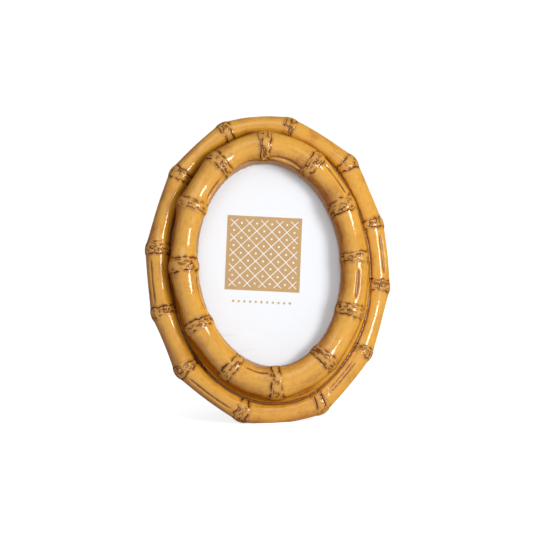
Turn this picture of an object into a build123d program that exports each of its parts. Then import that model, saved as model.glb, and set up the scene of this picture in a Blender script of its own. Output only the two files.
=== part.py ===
"""Oval tabletop picture frame cast as two rings of bamboo, standing open on its velvet easel back."""
from build123d import *
import math
import os

os.makedirs("parts", exist_ok=True)

# Everything is drawn flat first: X to the right, Y up the frame, Z towards the viewer from the moulding's back.
# It is then leaned back and stood on the ground. All lengths are in millimetres, angles in degrees.

# The photograph it holds and the stack behind the sight edge
photo_width = 63.5
photo_height = 88.9
photo_room = 0.75                        # play of the photograph in its pocket, each side
sight_half_width = 29.8
sight_half_height = 42.9
sight_turn_angle = 2.0                   # the cast opening sits slightly turned in the frame
plate_play = 0.3                         # play of glass and boards in the pocket, each side
glass_thickness = 1.8
card_thickness = 0.3
filler_thickness = 1.2
board_thickness = 2.4
velvet_thickness = 0.4
pocket_half_width = photo_width / 2 + photo_room
pocket_half_height = photo_height / 2 + photo_room
pocket_depth = velvet_thickness + board_thickness + filler_thickness + card_thickness + glass_thickness

# Both rings are drawn alike. Their nodes go counter-clockwise from the top and lie near an oval, each at its
# angle and at a share of the oval's reach. Every culm runs from its own node to the next one.

# The raised inner ring
inner_half_width = 36.6
inner_half_height = 50.9
inner_centre_y = 0.0
inner_height = 10.2                      # of the culm's axis above the moulding's back
inner_node_angles = [90, 122.5, 150, 180.2, 210.4, 240.2, 270, 305, 334.8, 360.7, 387.3, 416.4]
inner_node_shares = [0.986, 0.991, 0.997, 0.990, 0.977, 0.984, 0.991, 0.983, 0.985, 0.979, 0.976, 0.978]
inner_node_radii = [6.3, 6.25, 6.4, 6.25, 6.15, 6.0, 6.9, 6.1, 5.9, 6.0, 5.9, 6.05]
inner_waist_radii = [5.2, 5.3, 4.95, 5.3, 5.5, 5.9, 6.1, 5.4, 5.6, 5.35, 5.2, 5.5]
inner_bows = [2.2, 1.2, 1.2, 1.25, 1.05, 1.9, 2.3, 1.4, 0.9, 0.9, 1.4, 2.3]

# The lower outer ring
outer_half_width = 47.0
outer_half_height = 60.0
outer_centre_y = -1.55
outer_height = 3.7                       # its back is cut flat with the rest
outer_node_angles = [108.5, 138, 170.5, 196, 220.5, 253.7, 291.7, 322.5, 351, 376.7, 404, 436.8]
outer_node_shares = [1.034, 1.024, 1.009, 1.004, 1.035, 1.028, 1.025, 0.993, 0.980, 0.977, 1.026, 1.023]
outer_node_radii = [4.7, 4.7, 5.0, 5.2, 5.1, 5.1, 5.3, 5.1, 5.3, 5.5, 5.3, 4.8]
outer_waist_radii = [4.1, 4.1, 4.6, 4.8, 4.7, 4.6, 5.1, 4.5, 5.1, 5.2, 4.6, 4.1]
outer_bows = [1.25, 1.35, 0.8, 0.0, 1.15, 2.55, 0.7, 1.0, 0.85, 0.3, 1.15, 2.15]

# Node bands, alike on both rings
band_length = 3.6
band_step = 0.2                          # band stands this much proud of the culm's end
band_swell = 0.15                        # further rise in the middle of the band
flare_place_share = 0.2                  # of a culm's length from its end, where the flare is nearly gone
flare_radius_share = 0.25                # of the flare that is left there

# The web of resin under and between the rings, shallow below and to the right, deep to the left
floor_half_width = 45.0
floor_half_height = 58.4
floor_height = 3.2
web_foot_inset_x = 4.6                   # the foot stays under the outer culms
web_foot_inset_y = 2.9
web_foot_half_width = outer_half_width - web_foot_inset_x
web_foot_half_height = outer_half_height - web_foot_inset_y
web_foot_height = 6.6
web_foot_centre_x = 1.25
web_foot_centre_y = -2.25
web_top_half_width = 37.5
web_top_half_height = 52.5
web_top_height = 13.5
web_top_centre_x = 0.5
web_top_centre_y = -1.5
wall_top_half_width = 32.2               # the wall round the picture opens out to here
wall_top_half_height = 45.4
wall_top_height = 10.2
mouth_half_width = 35.4                  # and then under the inner culms to here
mouth_half_height = 49.4
weld_tolerance = 0.001

# Branch grooves: six on the inner ring and five on the outer one, each along the culm that lies at its angle
# round the ring. The turn is round the culm, from the outer side over the front.
inner_groove_angles = [348, 402, 430, 136, 195, 255]
inner_groove_turn_angles = [79, 53, 158, 155, 150, 124]
inner_groove_length_shares = [0.74, 0.80, 0.80, 0.80, 0.70, 0.66]
inner_groove_radii = [1.3, 0.8, 0.9, 0.6, 0.9, 0.7]
inner_groove_depths = [0.50, 0.40, 0.55, 0.30, 0.25, 0.40]
outer_groove_angles = [364, 307, 307, 237, 183]
outer_groove_turn_angles = [59, 77, 92, 55, 52]
outer_groove_length_shares = [0.84, 0.82, 0.80, 0.88, 0.88]
outer_groove_radii = [1.3, 0.6, 0.6, 0.7, 0.7]
outer_groove_depths = [0.60, 0.45, 0.40, 0.45, 0.40]
groove_deep_shares = [0.3, 0.5, 0.7]     # of its length, between which it is fully deep

# How it stands
lean_angle = 13.0
foot_grind = 0.5                         # resin ground off under the lowest culm
opening_angle = 25.0                     # of the easel leg from the back
leg_reach = 82.5                         # hinge to foot

# Turn buttons that hold the back in
button_angles = [45, 135, 225, 315]
button_width = 6.0
button_reach = 9.5                       # from the screw to the tip over the back
button_tail = 4.0
button_thickness = 1.0
button_gap = 0.05
screw_radius = 1.0
screw_depth = 6.0
screw_head_radius = 2.1
screw_head_height = 0.9
screw_slot_width = 0.5
screw_slot_depth = 0.4
running_clearance = 0.05
seat_clearance = 0.02

# Easel leg and its hinge
leg_head_width = 15.0
leg_foot_width = 25.0
leg_board_thickness = 2.5
leg_corner_radius = 2.0
leaf_corner_radius = 2.0
leaf_thickness = 0.6
leaf_width = 16.0
back_leaf_height = 13.0
leg_leaf_height = 14.0
leg_leaf_width = 13.0
pin_radius = 0.8
pin_head_radius = 1.15
pin_head_height = 0.35
knuckle_share = 0.34                     # of the leaf's width taken by the middle knuckle
rivet_radius = 1.0
rivet_head_radius = 1.9
rivet_head_height = 0.5
rivet_spacing = 8.0
back_rivet_place = 9.0                   # above the pin
leg_rivet_place = 8.5                    # below the pin

knuckle_radius = pin_radius + leaf_thickness
pin_z = -knuckle_radius
middle_knuckle = leaf_width * knuckle_share
leg_front_z = -2 * knuckle_radius - running_clearance
leg_back_z = leg_front_z - 2 * velvet_thickness - leg_board_thickness
leaf_front_z = pin_z - knuckle_radius + leaf_thickness

# The hinge is as high as the leg's reach sets it when the frame stands open, and the leg's head then bears on
# the back leaf and stops it there
foot_y = outer_centre_y - outer_half_height - min(outer_waist_radii)
hinge_y = foot_y + (
    leg_reach * math.cos(math.radians(opening_angle - lean_angle)) + knuckle_radius * math.sin(math.radians(lean_angle))
) / math.cos(math.radians(lean_angle))
leg_head_y = hinge_y - running_clearance + (
    knuckle_radius - leaf_thickness + (pin_z - leg_front_z) * math.cos(math.radians(opening_angle))
) / math.sin(math.radians(opening_angle))
back_rivet_y = hinge_y + back_rivet_place
leg_rivet_y = hinge_y - leg_rivet_place


def oval_plate(half_width, half_height, bottom, thickness):
    """Flat oval plate lying parallel to the moulding's back."""
    outline = Plane.XY.offset(bottom) * Ellipse(half_width, half_height)
    return extrude(outline, amount=thickness)


def oval_frustum(low, high):
    """Solid between two ovals, each given as (half width, half height, height above the back)."""
    sections = []
    for half_width, half_height, height in (low, high):
        sections.append(Pos(0, 0, height) * Ellipse(half_width, half_height))
    return loft(sections, ruled=True)


# Bamboo rings

def ring_nodes(angles, shares, half_width, half_height, centre_y, height):
    """Centre of every node of a ring."""
    centres = []
    for angle, share in zip(angles, shares):
        x = share * half_width * math.cos(math.radians(angle))
        y = centre_y + share * half_height * math.sin(math.radians(angle))
        centres.append(Vector(x, y, height))
    return centres


class Culm:
    """One culm: a shallow bow outwards between two nodes, flared towards each."""

    def __init__(self, start, end, start_radius, end_radius, waist_radius, bow):
        chord = end - start
        self.start = start
        self.chord = chord
        self.outward = Vector(chord.Y, -chord.X, 0).normalized()
        self.start_radius = start_radius
        self.end_radius = end_radius
        self.waist_radius = waist_radius
        self.bow = bow
        self.first = band_length / 2 / chord.length
        self.last = 1 - self.first

    def point(self, share):
        """Point of the axis at a share of the culm's length."""
        return self.start + self.chord * share + self.outward * (4 * self.bow * share * (1 - share))

    def direction(self, share):
        """Direction of the axis there."""
        return (self.chord + self.outward * (4 * self.bow * (1 - 2 * share))).normalized()

    def section(self, share, radius):
        """Round section across the culm, its seam kept at the back."""
        plane = Plane(self.point(share), x_dir=(0, 0, -1), z_dir=self.direction(share))
        return Wire.make_circle(radius, plane)

    def body(self):
        """The culm between its two node bands."""
        start_flare = self.waist_radius + (self.start_radius - self.waist_radius) * flare_radius_share
        end_flare = self.waist_radius + (self.end_radius - self.waist_radius) * flare_radius_share
        sections = [
            self.section(self.first, self.start_radius),
            self.section(self.first + flare_place_share, start_flare),
            self.section((self.first + self.last) / 2, self.waist_radius),
            self.section(self.last - flare_place_share, end_flare),
            self.section(self.last, self.end_radius),
        ]
        return Solid.make_loft(sections)


def culms(centres, node_radii, waist_radii, bows):
    """The culms of a ring, in order round it."""
    ring = []
    for index, centre in enumerate(centres):
        after = (index + 1) % len(centres)
        ring.append(
            Culm(centre, centres[after], node_radii[index], node_radii[after], waist_radii[index], bows[index])
        )
    return ring


def node_band(before, after):
    """Swollen band over the node between two culms."""
    edge_radius = after.start_radius + band_step
    facing = (before.direction(1) + after.direction(0)).normalized()
    node_plane = Plane(after.start, x_dir=(0, 0, -1), z_dir=facing)
    sections = [
        before.section(before.last, edge_radius),
        Wire.make_circle(edge_radius + band_swell, node_plane),
        after.section(after.first, edge_radius),
    ]
    return Solid.make_loft(sections)


def bamboo_ring(ring):
    """Culms and bands of a ring, as separate solids that meet end to end."""
    solids = []
    for index, culm in enumerate(ring):
        solids.append(culm.body())
        solids.append(node_band(ring[index - 1], culm))
    return solids


def branch_groove(culm, turn, length_share, radius, depth):
    """Cutter for the shallow groove that a branch leaves along a culm, running out at both ends."""
    away = culm.outward * math.cos(math.radians(turn)) + Vector(0, 0, 1) * math.sin(math.radians(turn))
    deep = away * (culm.waist_radius + radius - depth)
    run_out = away * (culm.waist_radius + radius)
    start = (1 - length_share) / 2
    sections = [Vertex(*(culm.point(start) + run_out))]
    for share in groove_deep_shares:
        along = start + length_share * share
        plane = Plane(culm.point(along) + deep, x_dir=away, z_dir=culm.direction(along))
        sections.append(Wire.make_circle(radius, plane))
    sections.append(Vertex(*(culm.point(1 - start) + run_out)))
    return Solid.make_loft(sections)


def branch_grooves(ring, node_angles, angles, *shapes):
    """Cutters for a ring's grooves, each along the culm that lies at its angle."""
    cutters = []
    for angle, *shape in zip(angles, *shapes):
        nodes_passed = sum(node_angle <= angle for node_angle in node_angles)
        cutters.append(branch_groove(ring[nodes_passed - 1], *shape))
    return cutters


# Moulding

def cast_web():
    """Resin body under the rings: floor of the valley between them, and the slope up to the inner ring."""
    floor = Pos(0, outer_centre_y, 0) * oval_plate(floor_half_width, floor_half_height, 0, floor_height)
    foot = Ellipse(web_foot_half_width, web_foot_half_height)
    foot = Pos(web_foot_centre_x, web_foot_centre_y, 0) * foot
    top = Pos(web_top_centre_x, web_top_centre_y, web_top_height) * Ellipse(web_top_half_width, web_top_half_height)
    slope = loft([Pos(0, 0, web_foot_height) * foot, top], ruled=True)
    return floor + extrude(foot, amount=web_foot_height) + slope


def sight_cut():
    """Opening from the sight edge forwards, widening up the wall and under the inner culms."""
    sight = (sight_half_width, sight_half_height, pocket_depth)
    wall_top = (wall_top_half_width, wall_top_half_height, wall_top_height)
    mouth = (mouth_half_width, mouth_half_height, web_top_height)
    lip = oval_plate(sight_half_width, sight_half_height, 0, pocket_depth)
    opening = lip + oval_frustum(sight, wall_top) + oval_frustum(wall_top, mouth)
    return Rot(0, 0, sight_turn_angle) * opening


def button_places():
    """Where the four turn buttons are screwed on: centre and the direction towards the picture."""
    places = []
    half_width = (pocket_half_width + floor_half_width) / 2 - screw_radius
    half_height = (pocket_half_height + floor_half_height) / 2 - screw_radius
    for angle in button_angles:
        x = half_width * math.cos(math.radians(angle))
        y = half_height * math.sin(math.radians(angle))
        places.append((Vector(x, y, 0), math.degrees(math.atan2(-y, -x))))
    return places


def moulding(inner_ring, outer_ring, grooves):
    """The one-piece casting."""
    web = cast_web() - sight_cut()
    body = web.fuse(*bamboo_ring(inner_ring), *bamboo_ring(outer_ring), tol=weld_tolerance)
    reach = 3 * outer_half_height
    below = Pos(0, 0, -reach / 2) * Box(reach, reach, reach)
    pocket = oval_plate(pocket_half_width, pocket_half_height, 0, pocket_depth)
    holes = []
    for place, _ in button_places():
        hole = Cylinder(screw_radius + seat_clearance, screw_depth)
        holes.append(Pos(place.X, place.Y, screw_depth / 2) * hole)
    for cutter in [below, pocket] + holes + grooves:
        body = body - cutter
    return body


# Glass, card and boards in the pocket

def stack():
    """Oval sheets behind the sight edge, from the back forwards."""
    half_width = pocket_half_width - plate_play
    half_height = pocket_half_height - plate_play
    board = oval_plate(
        half_width - velvet_thickness, half_height - velvet_thickness, velvet_thickness, board_thickness
    )
    velvet = oval_plate(half_width, half_height, 0, velvet_thickness + board_thickness) - board
    filler_z = velvet_thickness + board_thickness
    card_z = filler_z + filler_thickness
    glass_z = card_z + card_thickness
    rivet_holes = rivets_at(back_rivet_y, rivet_radius + seat_clearance, 0, filler_z)
    return {
        "back_velvet": velvet - rivet_holes,
        "backboard": board - rivet_holes,
        "filler_board": oval_plate(half_width, half_height, filler_z, filler_thickness),
        "insert_card": oval_plate(half_width, half_height, card_z, card_thickness),
        "glazing": oval_plate(half_width, half_height, glass_z, glass_thickness),
    }


# Turn buttons

def turn_button(place, heading):
    """Rounded steel tongue with its screw hole, pointing over the backboard."""
    length = button_reach + button_tail
    tongue = SlotOverall(length, button_width)
    outline = Pos((button_reach - button_tail) / 2, 0) * tongue - Circle(screw_radius + running_clearance)
    top = -button_gap - button_thickness
    return Pos(place.X, place.Y, top) * Rot(0, 0, heading) * extrude(outline, amount=button_thickness)


def domed_head(radius, height):
    """Low dome on a flat seat at Z 0, rising towards +Z."""
    crown_radius = (radius ** 2 + height ** 2) / (2 * height)
    ball = Pos(0, 0, height - crown_radius) * Sphere(crown_radius)
    return ball & Pos(0, 0, height) * Cylinder(crown_radius, 2 * height)


def button_screw(place):
    """Slotted round-head screw; its thread is left plain."""
    seat_z = -2 * button_gap - button_thickness
    length = screw_depth - seat_clearance - seat_z
    shank = Pos(0, 0, seat_z + length / 2) * Cylinder(screw_radius, length)
    slot = Pos(0, 0, screw_head_height) * Box(2 * screw_head_radius, screw_slot_width, 2 * screw_slot_depth)
    head = Pos(0, 0, seat_z) * Rot(180, 0, 0) * (domed_head(screw_head_radius, screw_head_height) - slot)
    return Pos(place.X, place.Y, 0) * (shank + head)


# Easel leg and hinge, drawn folded against the back

def rivets_at(y, radius, bottom, top):
    """Pair of plain round bars through a leaf, across the frame."""
    bar = Pos(0, y, (bottom + top) / 2) * Cylinder(radius, top - bottom)
    return Pos(-rivet_spacing / 2, 0, 0) * bar + Pos(rivet_spacing / 2, 0, 0) * bar


def rivet_heads(y, z, side):
    """Domed heads on a pair of rivets, standing out towards the given side."""
    head = domed_head(rivet_head_radius, rivet_head_height)
    if side < 0:
        head = Rot(180, 0, 0) * head
    return Pos(-rivet_spacing / 2, y, z) * head + Pos(rivet_spacing / 2, y, z) * head


def knuckle(width, x):
    """Rolled eye of a leaf round the pin."""
    eye = Rot(0, 90, 0) * Cylinder(knuckle_radius, width)
    return Pos(x, hinge_y, pin_z) * eye


def pin_bore():
    """Cutter for the pin's hole through the eyes."""
    return Pos(0, hinge_y, pin_z) * Rot(0, 90, 0) * Cylinder(pin_radius + running_clearance, 2 * leaf_width)


def back_leaf():
    """Steel leaf riveted to the backboard, with the two outer eyes."""
    plate = Box(leaf_width, back_leaf_height, leaf_thickness)
    plate = Pos(0, hinge_y + back_leaf_height / 2, -leaf_thickness / 2) * plate
    corners = plate.edges().filter_by(Axis.Z).group_by(Axis.Y)[-1]
    plate = fillet(corners, leaf_corner_radius)
    side_width = (leaf_width - middle_knuckle) / 2 - running_clearance
    side_x = (leaf_width - side_width) / 2
    room = knuckle_radius + running_clearance
    notch = Pos(0, hinge_y, 0) * Box(middle_knuckle + 2 * running_clearance, 2 * room, 4 * knuckle_radius)
    leaf = plate - notch + knuckle(side_width, side_x) + knuckle(side_width, -side_x)
    holes = rivets_at(back_rivet_y, rivet_radius + seat_clearance, -knuckle_radius, knuckle_radius)
    return leaf - pin_bore() - holes


def leg_leaf():
    """Steel leaf riveted to the leg, with the middle eye."""
    z = pin_z - knuckle_radius + leaf_thickness / 2
    plate = Pos(0, hinge_y - leg_leaf_height / 2, z) * Box(leg_leaf_width, leg_leaf_height, leaf_thickness)
    corners = plate.edges().filter_by(Axis.Z).group_by(Axis.Y)[0]
    plate = fillet(corners, leaf_corner_radius)
    room = knuckle_radius + running_clearance
    eye_width = middle_knuckle - 2 * running_clearance
    for side in (-1, 1):
        x = side * (eye_width / 2 + leaf_width / 2)
        plate = plate - Pos(x, hinge_y, z) * Box(leaf_width, 2 * room, 2 * leaf_thickness)
    leaf = plate + knuckle(eye_width, 0)
    holes = rivets_at(leg_rivet_y, rivet_radius + seat_clearance, leg_back_z, knuckle_radius)
    return leaf - pin_bore() - holes


def hinge_pin():
    """Plain pin with a small peened head at each end."""
    rod = Cylinder(pin_radius, leaf_width + 2 * running_clearance)
    for side in (-1, 1):
        z = side * (leaf_width / 2 + running_clearance + pin_head_height / 2)
        rod = rod + Pos(0, 0, z) * Cylinder(pin_head_radius, pin_head_height)
    return Pos(0, hinge_y, pin_z) * Rot(0, 90, 0) * rod


def leg_outline(inset):
    """Tapered strut, widest at the foot, in the plane of the frame."""
    top = leg_head_y - inset
    bottom = hinge_y - leg_reach - leg_foot_width / 2
    head = leg_head_width / 2 - inset
    foot = leg_foot_width / 2 - inset
    outline = Polygon((-foot, bottom), (foot, bottom), (head, top), (-head, top), align=None)
    corners = outline.vertices().sort_by(Axis.Y)[-2:]
    return fillet(corners, leg_corner_radius - inset)


def leg_parts():
    """Board and the velvet wrapped round it, both drilled for the rivets."""
    holes = rivets_at(leg_rivet_y, rivet_radius + seat_clearance, leg_back_z - leaf_thickness, 0)
    board = Pos(0, 0, leg_back_z + velvet_thickness) * extrude(
        leg_outline(velvet_thickness), amount=leg_board_thickness
    )
    cover = Pos(0, 0, leg_back_z) * extrude(leg_outline(0), amount=leg_front_z - leg_back_z)
    return board - holes, cover - board - holes


inner_nodes = ring_nodes(
    inner_node_angles, inner_node_shares, inner_half_width, inner_half_height, inner_centre_y, inner_height
)
outer_nodes = ring_nodes(
    outer_node_angles, outer_node_shares, outer_half_width, outer_half_height, outer_centre_y, outer_height
)
inner_ring = culms(inner_nodes, inner_node_radii, inner_waist_radii, inner_bows)
outer_ring = culms(outer_nodes, outer_node_radii, outer_waist_radii, outer_bows)
inner_grooves = branch_grooves(
    inner_ring, inner_node_angles, inner_groove_angles,
    inner_groove_turn_angles, inner_groove_length_shares, inner_groove_radii, inner_groove_depths,
)
outer_grooves = branch_grooves(
    outer_ring, outer_node_angles, outer_groove_angles,
    outer_groove_turn_angles, outer_groove_length_shares, outer_groove_radii, outer_groove_depths,
)
still = {"moulding": moulding(inner_ring, outer_ring, inner_grooves + outer_grooves)}
still.update(stack())
corner_names = ["top_right", "top_left", "bottom_left", "bottom_right"]
for name, (place, heading) in zip(corner_names, button_places()):
    still["turn_button_" + name] = turn_button(place, heading)
still["turn_button_screws"] = Compound([button_screw(place) for place, _ in button_places()])
still["hinge_back_leaf"] = back_leaf()
still["hinge_pin"] = hinge_pin()
back_bars = rivets_at(back_rivet_y, rivet_radius, -leaf_thickness, velvet_thickness + board_thickness)
still["back_leaf_rivets"] = back_bars + rivet_heads(back_rivet_y, -leaf_thickness, -1)

swinging = {}
swinging["easel_leg"], swinging["easel_leg_velvet"] = leg_parts()
swinging["hinge_leg_leaf"] = leg_leaf()
leg_bars = rivets_at(leg_rivet_y, rivet_radius, leg_back_z, leg_front_z + leaf_thickness + running_clearance)
swinging["leg_leaf_rivets"] = (
    leg_bars + rivet_heads(leg_rivet_y, leaf_front_z, 1) + rivet_heads(leg_rivet_y, leg_back_z, -1)
)

# Open the leg, lean everything back and stand it on the ground
hinge_line = Axis((0, hinge_y, pin_z), (1, 0, 0))
parts = dict(still)
for name, shape in swinging.items():
    parts[name] = shape.rotate(hinge_line, opening_angle)
upright = Rot(90 - lean_angle, 0, 0)
for name, shape in parts.items():
    parts[name] = upright * shape
ground = parts["moulding"].bounding_box().min.Z + foot_grind
reach = 4 * outer_half_height
below_ground = Pos(0, 0, ground - reach / 2) * Box(reach, reach, reach)
parts["moulding"] = parts["moulding"] - below_ground
parts["easel_leg_velvet"] = parts["easel_leg_velvet"] + parts["easel_leg"] - below_ground
parts["easel_leg"] = parts["easel_leg"] - Pos(0, 0, velvet_thickness) * below_ground
parts["easel_leg_velvet"] = parts["easel_leg_velvet"] - parts["easel_leg"]
whole = Compound(list(parts.values())).bounding_box()
shift = Pos(-whole.center().X, -whole.center().Y, -ground)
for name, shape in parts.items():
    export_step(shift * shape, f"parts/{name}.step")
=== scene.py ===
import math

import bmesh
import bpy
import numpy as np
from mathutils import Matrix, Vector, kdtree, noise


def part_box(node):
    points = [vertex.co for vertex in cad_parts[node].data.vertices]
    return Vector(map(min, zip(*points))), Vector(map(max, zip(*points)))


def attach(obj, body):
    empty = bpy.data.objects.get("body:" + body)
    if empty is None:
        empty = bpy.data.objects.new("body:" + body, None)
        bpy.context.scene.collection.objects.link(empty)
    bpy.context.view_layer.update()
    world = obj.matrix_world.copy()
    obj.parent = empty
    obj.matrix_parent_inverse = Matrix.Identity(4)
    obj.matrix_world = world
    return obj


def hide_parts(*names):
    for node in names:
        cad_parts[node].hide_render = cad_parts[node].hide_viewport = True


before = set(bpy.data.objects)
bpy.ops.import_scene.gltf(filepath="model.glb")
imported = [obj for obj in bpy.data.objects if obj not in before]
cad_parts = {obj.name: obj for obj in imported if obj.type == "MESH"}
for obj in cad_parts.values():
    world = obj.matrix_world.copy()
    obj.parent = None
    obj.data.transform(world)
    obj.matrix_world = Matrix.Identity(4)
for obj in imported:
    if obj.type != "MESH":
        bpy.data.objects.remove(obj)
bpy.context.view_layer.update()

# Moulding: one casting in polyester resin, taken from a rubber mould of a carved bamboo master. Two rings of
# culms are stepped one above the other, with the wall and ledge for the glass inside them. It is stained by
# hand: honey on the crests, amber on the flanks, brown in the cleft and the cracks, under a clear glaze. The
# amber on flanks that face left and the brown in hollows and the cleft are partly painted shade.

# The frame leans back on its leg. Flat places are in millimetres from the middle of the moulding's back:
# across, up the frame, and forward. Sizes are in millimetres where mm turns them to metres.
mm = 0.001
lean = math.radians(13)
across = np.array((1.0, 0.0, 0.0))
upward = np.array((0.0, math.sin(lean), math.cos(lean)))
forward = np.array((0.0, -math.cos(lean), math.sin(lean)))
glass_thickness = 1.8
glass_front = 6.1
glass_middle = np.array(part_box("glazing")).mean(axis=0)
middle = glass_middle - forward * (glass_front - glass_thickness / 2) * mm


def to_flat(points):
    """Points of the leaning frame as flat places."""
    away = (np.asarray(points) - middle) / mm
    return np.stack([away @ across, away @ upward, away @ forward], axis=-1)


def copied_node(name, node):
    """A new object with a copy of a node's mesh, its corners welded."""
    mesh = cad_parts[node].data.copy()
    mesh.name = name
    work = bmesh.new()
    work.from_mesh(mesh)
    bmesh.ops.remove_doubles(work, verts=work.verts, dist=0.001 * mm)
    work.to_mesh(mesh)
    work.free()
    mesh.materials.clear()
    piece = bpy.data.objects.new(name, mesh)
    bpy.context.scene.collection.objects.link(piece)
    return piece


def set_modifiers(piece):
    """Works the modifiers of a piece into its mesh."""
    bpy.context.view_layer.update()
    finished = bpy.data.meshes.new_from_object(piece.evaluated_get(bpy.context.evaluated_depsgraph_get()))
    piece.modifiers.clear()
    piece.data = finished


# The casting has soft inner corners, because the rubber mould does. One voxel skin gives them.
skin_voxel = 0.36
corner_softening = 3
moulding = copied_node("moulding_cast", "moulding")
melt = moulding.modifiers.new("one_skin", "REMESH")
melt.mode = "VOXEL"
melt.voxel_size = skin_voxel * mm
soften = moulding.modifiers.new("soft_corners", "SMOOTH")
soften.iterations = corner_softening
set_modifiers(moulding)

# Both rings, from the top round to the left. Each node has its angle, its share of the oval's reach and its
# radius, and then the waist radius and outward bow of the culm that runs from it to the next one.
inner_ring = dict(
    half_width=36.6, half_height=50.9, centre=0.0, height=10.2,
    nodes=[
        (90, 0.986, 6.3, 5.2, 2.2), (122.5, 0.991, 6.25, 5.3, 1.2), (150, 0.997, 6.4, 4.95, 1.2),
        (180.2, 0.990, 6.25, 5.3, 1.25), (210.4, 0.977, 6.15, 5.5, 1.05), (240.2, 0.984, 6.0, 5.9, 1.9),
        (270, 0.991, 6.9, 6.1, 2.3), (305, 0.983, 6.1, 5.4, 1.4), (334.8, 0.985, 5.9, 5.6, 0.9),
        (360.7, 0.979, 6.0, 5.35, 0.9), (387.3, 0.976, 5.9, 5.2, 1.4), (416.4, 0.978, 6.05, 5.5, 2.3),
    ],
)
outer_ring = dict(
    half_width=47.0, half_height=60.0, centre=-1.55, height=3.7,
    nodes=[
        (108.5, 1.034, 4.7, 4.1, 1.25), (138, 1.024, 4.7, 4.1, 1.35), (170.5, 1.009, 5.0, 4.6, 0.8),
        (196, 1.004, 5.2, 4.8, 0.0), (220.5, 1.035, 5.1, 4.7, 1.15), (253.7, 1.028, 5.1, 4.6, 2.55),
        (291.7, 1.025, 5.3, 5.1, 0.7), (322.5, 0.993, 5.1, 4.5, 1.0), (351, 0.980, 5.3, 5.1, 0.85),
        (376.7, 0.977, 5.5, 5.2, 0.3), (404, 1.026, 5.3, 4.6, 1.15), (436.8, 1.023, 4.8, 4.1, 2.15),
    ],
)
axis_step = 0.4


def ring_axis(ring):
    """Centre line of a ring: points, the ways ahead and out, and at each the run, radius and nearest node."""
    centres = []
    for angle, share, *_ in ring["nodes"]:
        turn = math.radians(angle)
        side = share * ring["half_width"] * math.cos(turn)
        rise = ring["centre"] + share * ring["half_height"] * math.sin(turn)
        centres.append(np.array((side, rise, ring["height"])))
    points, radii, alongs, numbers, middles = [], [], [], [], []
    for number, (_, _, radius, waist, bow) in enumerate(ring["nodes"]):
        after = (number + 1) % len(centres)
        chord = centres[after] - centres[number]
        length = np.linalg.norm(chord)
        outward = np.array((chord[1], -chord[0], 0)) / length
        steps = int(round(length / axis_step))
        for share in (np.arange(steps) + 0.5) / steps:
            first_half = share < 0.5
            end_radius = radius if first_half else ring["nodes"][after][2]
            points.append(centres[number] + chord * share + outward * 4 * bow * share * (1 - share))
            radii.append(waist + (end_radius - waist) * (2 * share - 1) ** 2)
            alongs.append(share * length if first_half else (share - 1) * length)
            numbers.append(number if first_half else after)
            middles.append(4 * share * (1 - share))
    points = np.array(points)
    ahead = np.roll(points, -2, axis=0) - np.roll(points, 2, axis=0)
    ahead /= np.linalg.norm(ahead, axis=1)[:, None]
    strides = np.linalg.norm(np.roll(points, -1, axis=0) - points, axis=1)
    return dict(
        points=points, ahead=ahead, outward=np.cross(ahead, (0, 0, 1)), run=np.cumsum(strides),
        radius=np.array(radii), along=np.array(alongs), number=np.array(numbers), middle=np.array(middles),
    )


def on_rings(points):
    """Places of points on the nearer ring, with their gap to both rings' surfaces, in millimetres."""
    found = []
    for ring in (inner_ring, outer_ring):
        axis = ring_axis(ring)
        tree = kdtree.KDTree(len(axis["points"]))
        for row, point in enumerate(axis["points"]):
            tree.insert(point, row)
        tree.balance()
        rows = np.array([tree.find(point)[1] for point in points])
        away = points - axis["points"][rows]
        ahead = (away * axis["ahead"][rows]).sum(axis=1)
        place = {key: axis[key][rows] for key in ("radius", "number", "middle")}
        place["out"] = (away * axis["outward"][rows]).sum(axis=1)
        place["front"] = away[:, 2]
        place["gap"] = np.hypot(place["out"], place["front"]) - place["radius"]
        place["run"] = axis["run"][rows] + ahead
        place["along"] = axis["along"][rows] + ahead
        found.append(place)
    lower = np.abs(found[0]["gap"]) > np.abs(found[1]["gap"])
    near = {key: np.where(lower, found[1][key], found[0][key]) for key in found[0]}
    near["lower"] = lower
    near["cleft"] = np.maximum(found[0]["gap"], 0) + np.maximum(found[1]["gap"], 0)
    return near


def read_points(mesh, what="co"):
    """A mesh's points, or their normals, as rows of numbers."""
    flat = np.empty(len(mesh.vertices) * 3)
    mesh.vertices.foreach_get(what, flat)
    return flat.reshape(-1, 3)


def store(mesh, name, values):
    """Stores a number or a place for each point of a mesh."""
    kind = "FLOAT" if values.ndim == 1 else "FLOAT_VECTOR"
    layer = mesh.attributes.new(name, kind, "POINT")
    layer.data.foreach_set("value" if values.ndim == 1 else "vector", values.astype(np.float32).ravel())


def noise_at(places, wave):
    """Smooth noise from about -1 to 1 at each place, for a wave in millimetres."""
    return np.array([noise.noise(Vector(place) / wave) for place in places])


# Stain runs into hollows and off edges, and shade is painted into the hollows as well. How hollow the skin is
# at a point is its depth below the mean of the skin round it, taken over a wide patch for the clefts and over
# a narrow one for grooves and steps.
narrow_rounds = 5
wide_rounds = 18
edge_ends = np.empty(len(moulding.data.edges) * 2, dtype=int)
moulding.data.edges.foreach_get("vertices", edge_ends)
edge_ends = edge_ends.reshape(-1, 2)
starts = np.concatenate([edge_ends[:, 0], edge_ends[:, 1]])
ends = np.concatenate([edge_ends[:, 1], edge_ends[:, 0]])
skin_points = read_points(moulding.data) / mm
skin_normals = read_points(moulding.data, "normal")
neighbours = np.bincount(starts, minlength=len(skin_points))[:, None]
mean_points = skin_points
for rounds in range(1, wide_rounds + 1):
    sums = [np.bincount(starts, mean_points[ends, line], len(skin_points)) for line in range(3)]
    mean_points = np.stack(sums, axis=1) / neighbours
    if rounds in (narrow_rounds, wide_rounds):
        name = "groove" if rounds == narrow_rounds else "hollow"
        store(moulding.data, name, ((mean_points - skin_points) * skin_normals).sum(axis=1))

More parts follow.
